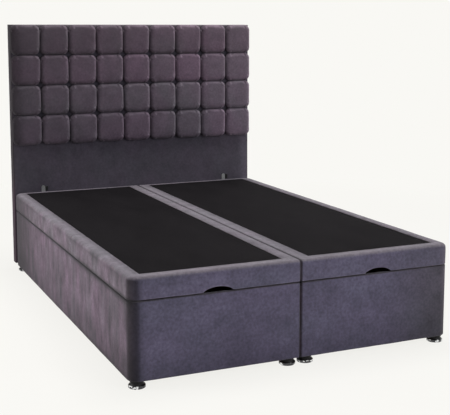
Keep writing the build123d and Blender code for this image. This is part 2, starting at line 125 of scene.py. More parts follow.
class Finish:
    """A material under construction: one Principled shader and the patterns that feed it."""

    def __init__(self, name, colour, roughness, metallic=0):
        self.material = bpy.data.materials.new(name)
        self.material.use_nodes = True
        self.tree = self.material.node_tree
        self.shader = self.tree.nodes["Principled BSDF"]
        self.set({"Base Color": (*colour, 1), "Roughness": roughness, "Metallic": metallic})
        self.place = self.tree.nodes.new("ShaderNodeTexCoord").outputs["Object"]
        self.relief = None

    def set(self, values):
        """Set numbers and colours on the shader's own sockets."""
        set_sockets(self.shader, values)

    def link(self, source, target):
        self.tree.links.new(source, target)

    def pattern(self, kind, place, values):
        """A node that reads a place on the piece, with its numbers set."""
        node = self.tree.nodes.new(kind)
        set_sockets(node, values)
        self.link(place or self.place, node.inputs["Vector"])
        return node

    def stretched(self, scale, turn=(0, 0, 0)):
        """Object coordinates, turned in degrees and scaled along each axis."""
        values = {"Rotation": [math.radians(angle) for angle in turn], "Scale": scale}
        return self.pattern("ShaderNodeMapping", self.place, values).outputs["Vector"]

    def speckle(self, scale, detail=2, roughness=0.5, place=None):
        """Soft noise from 0 to 1, with a number of spots to the metre."""
        values = {"Scale": scale, "Detail": detail, "Roughness": roughness}
        return self.pattern("ShaderNodeTexNoise", place, values).outputs["Fac"]

    def streaks(self, stretch, detail=2, roughness=0.5, turn=(0, 0, 0)):
        """Soft noise from 0 to 1, with a number of spots to the metre along each axis."""
        return self.speckle(1, detail, roughness, self.stretched(stretch, turn))

    def stripes(self, scale, distortion, direction, detail=2, place=None):
        """Bands across one axis, from 0 to 1."""
        values = {"Scale": scale, "Distortion": distortion, "Detail": detail}
        bands = self.pattern("ShaderNodeTexWave", place, values)
        bands.bands_direction = direction
        return bands.outputs["Fac"]

    def cells(self, scale):
        """Distance to the nearest of many scattered points, from 0 up."""
        return self.pattern("ShaderNodeTexVoronoi", self.place, {"Scale": scale}).outputs["Distance"]

    def spread(self, value, old, new):
        """Map a range of values on to another, held at its ends."""
        return map_range(self.tree, value, old, new)

    def multiply(self, *factors):
        """The product of several patterns."""
        product = factors[0]
        for factor in factors[1:]:
            product = calculate(self.tree, "MULTIPLY", product, factor)
        return product

    def blend(self, share, first, second):
        """Mix two colours by a pattern; each colour is a tuple or another mix."""
        node = self.tree.nodes.new("ShaderNodeMix")
        node.data_type = "RGBA"
        self.link(share, node.inputs[MIX_SHARE])
        for socket, colour in ((node.inputs[MIX_FIRST], first), (node.inputs[MIX_SECOND], second)):
            if isinstance(colour, tuple):
                socket.default_value = (*colour, 1)
            else:
                self.link(colour, socket)
        return node.outputs[MIX_RESULT]

    def carried(self, name, part):
        """A part of the colour that the piece carries on its vertices."""
        node = self.tree.nodes.new("ShaderNodeAttribute")
        node.attribute_name = name
        return node.outputs[part]

    def dye(self, colour, operation, factor, socket):
        """A colour changed by a pattern or by another colour."""
        node = self.tree.nodes.new("ShaderNodeVectorMath")
        node.operation = operation
        self.link(colour, node.inputs[0])
        self.link(factor, node.inputs[socket])
        return node.outputs["Vector"]

    def colour(self, source):
        self.link(source, self.shader.inputs["Base Color"])

    def roughness(self, source):
        self.link(source, self.shader.inputs["Roughness"])

    def emboss(self, height, depth):
        """Raise the surface by a pattern, on top of what is there already."""
        node = self.tree.nodes.new("ShaderNodeBump")
        set_sockets(node, {"Strength": 1, "Distance": depth})
        self.link(height, node.inputs["Height"])
        if self.relief is not None:
            self.link(self.relief, node.inputs["Normal"])
        self.relief = node.outputs["Normal"]
        self.link(self.relief, self.shader.inputs["Normal"])


# The range in which most of a noise pattern lies, a wider and a narrower one, and the whole of it
MOST = (0.3, 0.7)
WIDE = (0.28, 0.72)
NARROW = (0.38, 0.62)
WHOLE = (0, 1)

# The layer on each vertex that carries its painted light and shade, and how much it shows streaks
SHADE_AND_STREAKS = "painted_shade_and_streaks"
VELVET_PLUM = (0.152, 0.122, 0.15)
VELVET_SLATE = (0.125, 0.118, 0.131)
VELVET_SHEEN = (0.8, 0.76, 0.82)
PATCH_SHARE = 0.6
EVEN_MIX = 0.5
CLOTH_BLACKS = ((0.0078, 0.0069, 0.008), (0.0112, 0.01, 0.0114))
LINING_GREYS = ((0.012, 0.012, 0.015), (0.026, 0.026, 0.03))
SOFTWOOD_TONES = ((0.56, 0.36, 0.19), (0.4, 0.225, 0.105))
SOFTWOOD_GRAIN = (0.3, 0.165, 0.08)
HARDBOARD_TONES = ((0.235, 0.13, 0.068), (0.15, 0.08, 0.04))
HARDBOARD_FIBRE = (0.085, 0.043, 0.022)
ZINC_TONES = ((0.29, 0.305, 0.33), (0.39, 0.39, 0.38))
PAINT_TONES = ((0.01, 0.01, 0.011), (0.024, 0.024, 0.026))
CHROME_PAINTED_REFLECTIONS = ((0.075, 0.075, 0.08), (0.8, 0.81, 0.83))
PLASTIC_TONES = ((0.008, 0.008, 0.009), (0.015, 0.015, 0.016))
RUBBER_TONES = ((0.012, 0.012, 0.012), (0.03, 0.03, 0.029))


def make_velvet(name, stretch, streaking, mottling, flecking, sheen):
    """Short-pile velvet: two tones of grey-plum, brushed streaks and blotches, fine pile, a soft sheen, and
    the painted light and shade that the piece carries on its vertices.
    """
    velvet = Finish(name, VELVET_PLUM, roughness=0.95)
    brushed = velvet.carried(SHADE_AND_STREAKS, "Alpha")
    patches = velvet.streaks([part * PATCH_SHARE for part in stretch])
    patches = velvet.multiply(velvet.spread(patches, NARROW, (-EVEN_MIX, EVEN_MIX)), brushed)
    tone = velvet.blend(calculate(velvet.tree, "ADD", patches, EVEN_MIX), VELVET_PLUM, VELVET_SLATE)
    streaks = velvet.streaks(stretch, detail=4, roughness=0.55)
    streaks = velvet.multiply(velvet.spread(streaks, WIDE, (-streaking, streaking)), brushed)
    streaks = calculate(velvet.tree, "ADD", streaks, 1)
    mottle = velvet.spread(velvet.speckle(17, detail=3), WIDE, (1 - mottling, 1 + mottling))
    flecks = velvet.spread(velvet.speckle(90), WIDE, (1 - flecking, 1 + flecking))
    pile = velvet.speckle(520, roughness=0.6)
    grain = velvet.spread(pile, MOST, (0.93, 1.07))
    lit = velvet.dye(tone, "SCALE", velvet.multiply(streaks, mottle, flecks, grain), "Scale")
    # The colour is multiplied by the painted light and shade on the vertices
    velvet.colour(velvet.dye(lit, "MULTIPLY", velvet.carried(SHADE_AND_STREAKS, "Color"), 1))
    velvet.set({"Sheen Weight": sheen, "Sheen Roughness": 0.6, "Sheen Tint": (*VELVET_SHEEN, 1)})
    velvet.set({"Specular IOR Level": 0.12})
    velvet.emboss(pile, depth=0.0005)
    return velvet.material


def make_platform_cloth():
    """Matt black woven cloth with a faint slub."""
    cloth = Finish("black_platform_cloth", (0.0115, 0.011, 0.0122), roughness=0.92)
    warp = cloth.stripes(260, distortion=0.6, direction="X")
    weft = cloth.stripes(260, distortion=0.6, direction="Y")
    slub = cloth.streaks((9, 3, 9), detail=3, roughness=0.6)
    cloth.colour(cloth.blend(cloth.spread(slub, MOST, WHOLE), *CLOTH_BLACKS))
    cloth.set({"Specular IOR Level": 0.04})
    cloth.emboss(cloth.multiply(warp, weft), depth=0.0004)
    cloth.emboss(slub, depth=0.0006)
    return cloth.material


def make_lining_cloth():
    """Dark spun lining with small bonded dots."""
    cloth = Finish("spun_lining", (0.018, 0.018, 0.021), roughness=0.88)
    dots = cloth.spread(cloth.cells(420), (0, 0.45), WHOLE)
    fibres = cloth.streaks((700, 700, 120), detail=3, roughness=0.7, turn=(0, 24, 0))
    cloth.colour(cloth.blend(fibres, *LINING_GREYS))
    cloth.emboss(dots, depth=0.0002)
    return cloth.material


def make_timber(name, along):
    """Planed softwood with its grain along one axis."""
    wood = Finish(name, (0.5, 0.31, 0.155), roughness=0.6)
    fine = [52, 52, 52]
    broad = [9, 9, 9]
    fine[along] = 1.6
    broad[along] = 0.5
    rings = wood.stripes(1.1, distortion=9, direction="DIAGONAL", detail=3, place=wood.stretched(broad))
    grain = wood.speckle(3, detail=6, roughness=0.65, place=wood.stretched(fine))
    tone = wood.blend(rings, *SOFTWOOD_TONES)
    wood.colour(wood.blend(wood.spread(grain, (0.3, 0.75), (0, 0.55)), tone, SOFTWOOD_GRAIN))
    wood.roughness(wood.spread(grain, MOST, (0.5, 0.72)))
    wood.emboss(grain, depth=0.0004)
    return wood.material


def make_hardboard():
    """Brown pressed board with short dark fibres."""
    board = Finish("hardboard", (0.19, 0.105, 0.055), roughness=0.5)
    fibres = board.streaks((260, 90, 260), detail=5, roughness=0.75, turn=(0, 0, 30))
    tone = board.blend(board.speckle(7, detail=3), *HARDBOARD_TONES)
    board.colour(board.blend(board.spread(fibres, (0.45, 0.7), (0, 0.7)), tone, HARDBOARD_FIBRE))
    board.roughness(board.spread(fibres, MOST, (0.42, 0.62)))
    board.emboss(fibres, depth=0.00015)
    return board.material


def make_plated_steel():
    """Zinc plate, brushed a little, with faint clouding."""
    steel = Finish("zinc_plate", (0.34, 0.35, 0.37), roughness=0.32, metallic=1)
    clouds = steel.speckle(60, detail=3, roughness=0.6)
    brushing = steel.streaks((900, 60, 900), detail=3, roughness=0.6)
    steel.colour(steel.blend(clouds, *ZINC_TONES))
    steel.roughness(steel.spread(brushing, MOST, (0.24, 0.42)))
    steel.emboss(brushing, depth=0.00004)
    return steel.material


def make_painted_steel():
    """Black stoved paint with a slight ripple and rubbed spots."""
    paint = Finish("black_paint", (0.012, 0.012, 0.013), roughness=0.36)
    rub = paint.spread(paint.speckle(45, detail=5, roughness=0.7), (0.52, 0.7), WHOLE)
    paint.colour(paint.blend(rub, *PAINT_TONES))
    paint.roughness(paint.spread(rub, WHOLE, (0.32, 0.5)))
    paint.emboss(paint.speckle(520), depth=0.00012)
    return paint.material


def make_chrome():
    """Polished chrome with the slightest smear, and painted reflections: bright spots painted on a dark
    colour.
    """
    chrome = Finish("chrome", (0.2, 0.2, 0.21), roughness=0.1, metallic=1)
    smear = chrome.speckle(90, detail=3)
    chrome.roughness(chrome.spread(smear, (0.35, 0.7), (0.05, 0.17)))
    painted_reflections = chrome.spread(chrome.speckle(75, detail=1), (0.53, 0.6), WHOLE)
    chrome.colour(chrome.blend(painted_reflections, *CHROME_PAINTED_REFLECTIONS))
    return chrome.material


def make_plastic():
    """Moulded black plastic with a fine spark texture."""
    plastic = Finish("black_plastic", (0.01, 0.01, 0.011), roughness=0.42)
    spark = plastic.speckle(1500, roughness=0.6)
    plastic.roughness(plastic.spread(spark, MOST, (0.36, 0.52)))
    plastic.colour(plastic.blend(plastic.speckle(25), *PLASTIC_TONES))
    plastic.set({"Specular IOR Level": 0.2})
    plastic.emboss(spark, depth=0.00006)
    return plastic.material


def make_rubber():
    """Matt rubber with a dusty bloom."""
    rubber = Finish("rubber", (0.018, 0.018, 0.018), roughness=0.85)
    bloom = rubber.speckle(110, detail=4, roughness=0.65)
    rubber.colour(rubber.blend(bloom, *RUBBER_TONES))
    rubber.emboss(rubber.speckle(900), depth=0.0001)
    return rubber.material


velvet_headboard = make_velvet("velvet_headboard", stretch=(14, 14, 9), streaking=0.14, mottling=0.1,
                               flecking=0.14, sheen=0.12)
velvet_box = make_velvet("velvet_box", stretch=(6, 22, 8), streaking=0.66, mottling=0.12,
                         flecking=0.22, sheen=0.25)
velvet_lid = make_velvet("velvet_lid", stretch=(6, 22, 14), streaking=0.56, mottling=0.12,
                         flecking=0.22, sheen=0.25)
platform_cloth = make_platform_cloth()
spun_lining = make_lining_cloth()
timber_across = make_timber("softwood_across", X)
timber_along = make_timber("softwood_along", Y)
timber_upright = make_timber("softwood_upright", Z)

SLOT_FINISHES = {
    "timber": timber_along,
    "hardboard": make_hardboard(),
    "plated_steel": make_plated_steel(),
    "painted_steel": make_painted_steel(),
    "chrome": make_chrome(),
    "black_plastic": make_plastic(),
    "rubber": make_rubber(),
    "velvet": velvet_box,
    "black_cloth": platform_cloth,
    "lining_cloth": spun_lining,
}
GRAIN_ACROSS = ("end_boards", "battens", "end_rails", "headboard_rails")
GRAIN_UPRIGHT = ("corner_posts", "uprights", "headboard_panel")


def finish_frame_nodes():
    """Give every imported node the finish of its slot, with the grain along each board."""
    for row in frame["record"]["subparts"]:
        name = row["node"]
        finish = SLOT_FINISHES[row["material_slot"]]
        if any(word in name for word in GRAIN_ACROSS):
            finish = timber_across
        if any(word in name for word in GRAIN_UPRIGHT):
            finish = timber_upright
        mesh = frame["nodes"][name].data
        mesh.materials.clear()
        mesh.materials.append(finish)


finish_frame_nodes()


# Mesh tools

# The least share of its length that an edge along an axis runs along it
ALONG_LEAST = 0.99
# How far a seed moves the noise along each axis
SEED_SHIFTS = (1, 2.3, 7.7)


def solid_box(low, high):
    """A cuboid between two corners."""
    bm = bmesh.new()
    size = high - low
    matrix = Matrix.Translation((low + high) / 2) @ Matrix.Diagonal((*size, 1))
    bmesh.ops.create_cube(bm, size=1, matrix=matrix)
    return bm


def round_off(bm, edges, radius, segments):
    """Round the given edges."""
    bmesh.ops.bevel(bm, geom=edges, offset=radius, offset_type="OFFSET", segments=segments,
                    profile=0.5, affect="EDGES", material=-1)


def edges_along(bm, axis):
    """The edges that run along an axis."""
    found = []
    for edge in bm.edges:
        run = edge.verts[1].co - edge.verts[0].co
        if abs(run[axis]) > ALONG_LEAST * run.length:
            found.append(edge)
    return found


def in_plane(part, axis, place):
    """Whether an edge or a face lies in a plane across an axis."""
    return all(abs(vert.co[axis] - place) < CLOSE for vert in part.verts)


def edges_at(bm, axis, place):
    """The edges that lie in a plane across an axis."""
    return [edge for edge in bm.edges if in_plane(edge, axis, place)]


def faces_at(bm, axis, place):
    """The faces that lie in a plane across an axis."""
    return [face for face in bm.faces if in_plane(face, axis, place)]


def rims_at(bm, axis, place):
    """The edges in a plane across an axis at which a face leaves that plane."""
    return [edge for edge in edges_at(bm, axis, place)
            if not all(in_plane(face, axis, place) for face in edge.link_faces)]


def remove_faces(bm, faces):
    bmesh.ops.delete(bm, geom=faces, context="FACES")


def slice_at(bm, axis, places):
    """Cut the mesh across an axis at each place."""
    normal = Vector((0, 0, 0))
    normal[axis] = 1
    for place in places:
        geometry = bm.verts[:] + bm.edges[:] + bm.faces[:]
        bmesh.ops.bisect_plane(bm, geom=geometry, dist=CLOSE, plane_co=normal * place, plane_no=normal)


def spaced(low, high, pitch):
    """Places between two ends, about one pitch apart, without the ends."""
    count = max(1, round((high - low) / pitch))
    return [low + (high - low) * number / count for number in range(1, count)]


def slice_evenly(bm, axis, low, high, border, pitch):
    """Cut the mesh across an axis about one pitch apart, between the borders inside two corners."""
    slice_at(bm, axis, spaced(low[axis] + border, high[axis] - border, pitch))


def between(first, second, share):
    """The number that lies a share of the way from one number to another."""
    return first + (second - first) * share


def wave(place, size, seed):
    """Smooth noise from about -1 to 1 with bumps of a given size."""
    return noise.noise(place / size + Vector([seed * shift for shift in SEED_SHIFTS]))


def uneven(place, mean, change, size, seed):
    """A number that changes smoothly round a mean, with bumps of a given size."""
    return mean + change * wave(place, size, seed)


def fading(distance, depth, reach):
    """A depth that dies away with distance."""
    return depth * math.exp(-distance / reach)


def hump(distance, reach):
    """A smooth bump: 1 at no distance, 0 past its reach."""
    if abs(distance) >= reach:
        return 0
    return (1 - (distance / reach) ** 2) ** 2


def ease(value, low, high):
    """0 below a range, 1 above it, and a smooth change between."""
    share = max(0, min(1, (value - low) / (high - low)))
    return share * share * (3 - 2 * share)


def press(bm, depth_of):
    """Move each vertex inwards along its normal by the depth that a rule gives."""
    bm.normal_update()
    moves = [(vert, vert.normal * -depth_of(vert.co, vert.normal)) for vert in bm.verts]
    for vert, move in moves:
        vert.co += move


def paint_shade_and_streaks(mesh, painted_shade_of, streaks):
    """Store on each vertex the painted light and shade that a rule gives, and how much its facing shows
    streaks.
    """
    layer = mesh.color_attributes.new(SHADE_AND_STREAKS, "FLOAT_COLOR", "POINT")
    for vert, cell in zip(mesh.vertices, layer.data):
        cell.color = (*painted_shade_of(vert.co, vert.normal), between(streaks, 1, vert.normal.x ** 2))


def finished_mesh(name, bm):
    """The mesh that was under construction."""
    mesh = bpy.data.meshes.new(name)
    bm.to_mesh(mesh)
    bm.free()
    return mesh


def make_piece(name, bm, finish, body, thickness=None, painted_shade_of=None, streaks=0.35):
    """Turn a mesh into a smooth-shaded piece on a body; a skin gets its thickness, inwards."""
    bmesh.ops.recalc_face_normals(bm, faces=bm.faces)
    mesh = finished_mesh(name, bm)
    mesh.shade_smooth()
    mesh.materials.append(finish)
    if painted_shade_of:
        paint_shade_and_streaks(mesh, painted_shade_of, streaks)
    piece = add_object(name, mesh)
    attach(piece, body)
    if thickness:
        modifier = piece.modifiers.new("thickness", "SOLIDIFY")
        modifier.thickness = thickness
        modifier.offset = -1
    return piece


# Painted light and shade on the velvet: tints by facing, darker bands round corners, bends and edges, and
# darker towards the ends and the bottom

OUTER_RADIUS = 0.042
# Painted light: the tints of the sides, the ends and the top, lighter or bluer where light falls on them
BOX_PAINTED_LIGHT = (Vector((0.86, 0.725, 0.84)), Vector((0.695, 0.72, 0.965)), Vector((0.94, 0.97, 0.95)))
LID_PAINTED_LIGHT = (Vector((0.98, 0.9, 0.97)), Vector((0.74, 0.775, 1.02)), Vector((1, 1.03, 1.02)))
LYING_FACING = (0.3, 0.8)
# Painted shade round the outer upright corners: dark on the left half, a lighter, warmer darkening on the
# right
CORNER_PAINTED_SHADE = {"left": Vector((0.24, 0.24, 0.24)), "right": Vector((0.6, 0.61, 0.5))}
CORNER_START = (0, 0.0012)
CORNER_BAND = {"left": (0.026, 0.052), "right": (0.03, 0.36)}
CORNER_LENGTH = (0.03, OUTER_RADIUS)
CORNER_FACING = (0.2, 0.9)
LID_CORNER_SHARE = {"left": 1, "right": 0.5}
JOIN_BEND_DEPTH = 0.56
JOIN_BEND_FACING = (0.16, 0.5)
JOIN_LINE_DEPTH = 0.72
JOIN_LINE_REACH = (0.0015, 0.0085)
JOIN_LINE_FACING = (0.1, 0.6)
LOW_SHADE = 0.8
LOW_SIDE_SHADE = 0.7
LOW_REACH = (0.02, 0.15)
REAR_SHADE = 0.42
REAR_REACH = (0.25, 0.88)
REAR_END_SHADE = 0.32
REAR_END_REACH = (0.48, 0.86)
FOOT_END_SHADE = 0.82
FOOT_END_REACH = (0.6, 0.9)
BOX_END_EDGE_SHADE = 0.55
# A painted highlight along the lower edge of a lid's ends
LID_END_EDGE_HIGHLIGHT = 1.5
SIDE_EDGE_SHADES = (0.36, 0.05)
SIDE_EDGE_CHANGE = (-0.2, 0.65)
SIDE_EDGE_WIDENING = 0.85
EDGE_PATCHES = dict(mean=1.15, change=0.7, size=0.22, seed=14)


def outer_and_join(low, high, half):
    """The places across the bed of a half's outer side and of its side at the join."""
    return (low.x, high.x) if half == "left" else (high.x, low.x)


def sideways(normal):
    """How much an upright face looks across the bed rather than along it, from 0 to 1."""
    return normal.x ** 2 / max(CLOSE, normal.x ** 2 + normal.y ** 2)


def painted_light_by_facing(normal, tints):
    """Painted light by facing: the tints of the sides, the ends and the top, blended where the cloth turns.
    """
    side, end, top = tints
    lying = ease(abs(normal.z), *LYING_FACING)
    return end.lerp(side, sideways(normal)).lerp(top, lying)


def corner_painted_shade(place, normal, half, low, high, strength=1):
    """Painted shade round the outer upright corners, more round the left ones, and a painted dark line along
    the join.
    """
    outer, join = outer_and_join(low, high, half)
    across = abs(place.x - outer)
    along = min(place.y - low.y, high.y - place.y)
    upright = 1 - ease(normal.z, *CORNER_FACING)
    band = ease(across, *CORNER_START) * (1 - ease(across, *CORNER_BAND[half]))
    band *= (1 - ease(along, *CORNER_LENGTH)) * upright * strength
    tint = Vector((1, 1, 1)).lerp(CORNER_PAINTED_SHADE[half], band)
    turn = min(abs(normal.x), abs(normal.y))
    beside = abs(place.x - join)
    if beside < OUTER_RADIUS:
        tint *= 1 - JOIN_BEND_DEPTH * ease(turn, *JOIN_BEND_FACING) * upright
        line = 1 - ease(beside, *JOIN_LINE_REACH)
        tint *= 1 - JOIN_LINE_DEPTH * line * ease(normal.z, *JOIN_LINE_FACING)
    return tint


def side_shade(place, normal, strength):
    """Painted shade on the sides, darker towards the head end and a little at the foot end."""
    dark = (1 - REAR_SHADE) * ease(place.y, *REAR_REACH)
    dark += (1 - FOOT_END_SHADE) * ease(-place.y, *FOOT_END_REACH)
    shade = 1 - dark * strength * normal.x ** 2
    return shade * between(1, REAR_END_SHADE, ease(place.y, *REAR_END_REACH) * normal.x ** 2)


def edge_shade(place, normal, distance, reaches, end_least):
    """Painted shade beside an edge, or a painted highlight where its least is over 1: strongest on the sides,
    near the foot end and in patches.
    """
    side = sideways(normal)
    foot = ease(-place.y, *SIDE_EDGE_CHANGE)
    end_reach, side_reach = reaches
    side_reach *= 1 + SIDE_EDGE_WIDENING * foot
    far = between(end_reach, side_reach, side) * uneven(place, **EDGE_PATCHES)
    head_least, foot_least = SIDE_EDGE_SHADES
    least = between(end_least, between(head_least, foot_least, foot), side)
    return between(least, 1, ease(distance, 0, far))


# Velvet round the boxes

OUTER_SEGMENTS = 8
JOIN_RADIUS = 0.008
JOIN_SEGMENTS = 4
VELVET_THICKNESS = 0.0012
TURN_WIDTH = 0.0205
BOX_RIM_RADIUS = 0.0045
BOX_RIM_SEGMENTS = 3
BOX_EDGE_REACHES = (0.004, 0.0135)
BOX_EDGE_CUTS = (0.006, 0.009, 0.012, 0.018)
BOX_HEM_NARROWING = 2
BOX_SLACK = dict(mean=0.0005, change=0.0005, size=0.21, seed=1)
BOX_GATHERS = dict(size=0.021, seed=3)
GATHER_TWIST = 0.15
HEM_GATHERS = dict(depth=0.0006, reach=0.045)
RIM_GATHERS = dict(depth=0.0003, reach=0.03)
GRID_PITCH = 0.028
BOX_HEIGHT_PITCH = GRID_PITCH * 0.8


def upright_edges(bm, place):
    """The upright edges at one place across the bed."""
    return [edge for edge in edges_along(bm, Z) if in_plane(edge, X, place)]


def open_end(bm, place, width):
    """Open a flat end of the solid, leaving velvet of a given width turned over the edge."""
    end = faces_at(bm, Z, place)
    bmesh.ops.inset_region(bm, faces=end, thickness=width, use_even_offset=True, use_boundary=True)
    remove_faces(bm, end)


def box_press(low, high):
    """How far the velvet of a box is drawn in: broad slackness, and gathers near both edges."""
    def depth(place, normal):
        along = place.x + place.y
        gathers = wave(Vector((along, along, place.z * GATHER_TWIST)), **BOX_GATHERS)
        gathers *= fading(place.z - low.z, **HEM_GATHERS) + fading(high.z - place.z, **RIM_GATHERS)
        return uneven(place, **BOX_SLACK) + gathers
    return depth


def make_box_cover(half):
    """The velvet stretched round a box."""
    low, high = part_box(f"box_cover_{half}")
    outer, join = outer_and_join(low, high, half)
    bm = solid_box(low, high)
    round_off(bm, upright_edges(bm, outer), OUTER_RADIUS, OUTER_SEGMENTS)
    open_end(bm, low.z, TURN_WIDTH)
    open_end(bm, high.z, TURN_WIDTH)
    round_off(bm, upright_edges(bm, join), JOIN_RADIUS, JOIN_SEGMENTS)
    bm.normal_update()
    round_off(bm, rims_at(bm, Z, low.z) + rims_at(bm, Z, high.z), BOX_RIM_RADIUS, BOX_RIM_SEGMENTS)
    slice_evenly(bm, X, low, high, OUTER_RADIUS, GRID_PITCH)
    slice_evenly(bm, Y, low, high, OUTER_RADIUS, GRID_PITCH)
    slice_evenly(bm, Z, low, high, BOX_RIM_RADIUS, BOX_HEIGHT_PITCH)
    slice_at(bm, Z, [high.z - cut for cut in BOX_EDGE_CUTS])
    press(bm, box_press(low, high))

    # Painted light and shade of a box: darker at its edges, towards the head end and the bottom, tinted by
    # facing and round the corners
    def painted_shade_of(place, normal):
        edge = min(high.z - place.z, BOX_HEM_NARROWING * (place.z - low.z))
        shade = edge_shade(place, normal, edge, BOX_EDGE_REACHES, BOX_END_EDGE_SHADE)
        shade *= side_shade(place, normal, 1)
        least = between(LOW_SHADE, LOW_SIDE_SHADE, normal.x ** 2)
        shade *= between(least, 1, ease(place.z - low.z, *LOW_REACH))
        return painted_light_by_facing(normal, BOX_PAINTED_LIGHT) * corner_painted_shade(place, normal, half, low, high) * shade

    piece = make_piece(f"velvet_box_{half}", bm, velvet_box, "base", VELVET_THICKNESS, painted_shade_of)
    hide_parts(f"box_cover_{half}")


# Lids

LID_ROLL_RADIUS = 0.016
LID_ROLL_SEGMENTS = 6
JOIN_ROLL_RADIUS = 0.0075
BORDER_SIDE = 0.054
BORDER_FOOT = 0.05
BORDER_HEAD = 0.035
LID_LENGTH_PITCH = GRID_PITCH * 0.7
LID_HEIGHT_PITCH = 0.0095
LID_EDGE_REACHES = (0.0044, 0.0055)
LID_EDGE_CUTS = (0.00225, 0.0045)
LID_SIDE_STRENGTH = 0.6
LID_UNDER_SHADE = 0.15
LID_UNDER_FACING = (-0.9, -0.3)
HANDHOLD_WIDTH = 0.1196
HANDHOLD_HEIGHT = 0.0183
HANDHOLD_DROP = 0.01
HANDHOLD_DEPTH = 0.024
HANDHOLD_STEPS = 24
HANDHOLD_EASING = 1.5
LID_SLACK = dict(mean=0.0005, change=0.0006, size=0.16, seed=5)
RUCK_DEPTH = 0.0005
RUCK_SLANT = 0.4
RUCKS = dict(size=0.018, seed=2)
BELLY_DEPTH = 0.0004
BELLY_REACH = 0.04
SEAM_PLACES = {"left": -0.208, "right": -0.043}
SEAM_REACH = 0.006
SEAM_DEPTH = 0.0013
SEAM_STEPS = (-1, -0.5, 0, 0.5, 1)
CREASE_DEPTH = 0.0011
CREASE_REACH = 0.09
CREASE_ALONG = 1.6
CREASE_UP = 0.7
CREASES = dict(size=0.019, seed=9)
PULL_DROP = 0.019
PULL_REACH = 0.011
PULL_DEPTH = 0.0011
PULL_SHADE = 0.42
PULL_FACING = (0.5, 0.8)
PULL_FITS = dict(size=0.15, seed=21)
PULL_START = (-0.25, 0.35)


def handhold_rise(x, middle):
    """The height of the hand-hold over a place across the bed: the top of an oval centred lower down."""
    full = HANDHOLD_HEIGHT + HANDHOLD_DROP
    half_span = HANDHOLD_WIDTH / 2 / math.sqrt(1 - (HANDHOLD_DROP / full) ** 2)
    share = (x - middle) / half_span
    if abs(share) >= 1:
        return 0
    return max(0, full * math.sqrt(1 - share ** 2) - HANDHOLD_DROP)


def arch_columns(middle):
    """Places across the hand-hold, closer together at its ends."""
    turns = [math.pi * step / HANDHOLD_STEPS for step in range(HANDHOLD_STEPS + 1)]
    return [middle - HANDHOLD_WIDTH / 2 * math.cos(turn) for turn in turns]


def lower_edge(place, low, high):
    """The height of a lid's lower edge at a place, which the hand-hold lifts."""
    if place.y > low.y + HANDHOLD_DEPTH:
        return low.z
    return low.z + handhold_rise(place.x, (low.x + high.x) / 2)


def open_handhold(bm, low, high):
    """Lift the lower edge of the foot end into the arch of the hand-hold."""
    roll_bottom = high.z - LID_ROLL_RADIUS
    for vert in bm.verts:
        if vert.co.z < roll_bottom:
            share = (roll_bottom - vert.co.z) / (roll_bottom - low.z)
            vert.co.z += (lower_edge(vert.co, low, high) - low.z) * share ** HANDHOLD_EASING


def pull_line(place, normal, high):
    """Where the velvet of a side is pulled in just under the roll, by fits and starts: 0 to 1."""
    under = hump(place.z - (high.z - PULL_DROP), PULL_REACH) * ease(abs(normal.x), *PULL_FACING)
    return under * ease(wave(Vector((0, place.y, 0)), **PULL_FITS), *PULL_START)


def lid_press(low, high, half):
    """How far the velvet of a lid is drawn in: a padded crown, a join seam and small creases."""
    middle = (low.x + high.x) / 2

    def depth(place, normal):
        along = place.x + place.y
        slack = uneven(place, **LID_SLACK)
        ruck = RUCK_DEPTH * wave(Vector((along, along * RUCK_SLANT, place.z)), **RUCKS)
        belly = BELLY_DEPTH * hump(place.z - (low.z + high.z) / 2, BELLY_REACH) * (1 - abs(normal.z))
        from_seam = place.y - SEAM_PLACES[half]
        seam = SEAM_DEPTH * hump(from_seam, SEAM_REACH)
        creased = wave(Vector((place.y * CREASE_ALONG, place.z * CREASE_UP, place.x)), **CREASES)
        crease = CREASE_DEPTH * hump(from_seam, CREASE_REACH) * max(0, creased)
        if abs(place.x - middle) < BORDER_SIDE:
            seam = crease = 0
        return slack + ruck - belly + seam + crease + PULL_DEPTH * pull_line(place, normal, high)
    return depth


def lid_blank(low, high, outer, join):
    """The form of a lid, open below: a full roll over its outer edges and a tighter one at the join."""
    bm = solid_box(low, high)
    round_off(bm, upright_edges(bm, outer), OUTER_RADIUS, OUTER_SEGMENTS)
    open_end(bm, low.z, TURN_WIDTH)
    rims = [edge for edge in edges_at(bm, Z, high.z) if not in_plane(edge, X, join)]
    round_off(bm, rims, LID_ROLL_RADIUS, LID_ROLL_SEGMENTS)
    join_rims = []
    for edge in rims_at(bm, X, join):
        if edge.is_manifold and not all(vert.co.z < low.z + CLOSE for vert in edge.verts):
            join_rims.append(edge)
    round_off(bm, join_rims, JOIN_ROLL_RADIUS, JOIN_SEGMENTS)
    return bm


def open_window(bm, low, high):
    """Cut out the top of a lid inside its velvet border."""
    start = Vector((low.x + BORDER_SIDE, low.y + BORDER_FOOT))
    end = Vector((high.x - BORDER_SIDE, high.y - BORDER_HEAD))
    slice_at(bm, X, (start.x, end.x))
    slice_at(bm, Y, (start.y, end.y))
    window = []
    for face in faces_at(bm, Z, high.z):
        middle = face.calc_center_median()
        if start.x < middle.x < end.x and start.y < middle.y < end.y:
            window.append(face)
    remove_faces(bm, window)


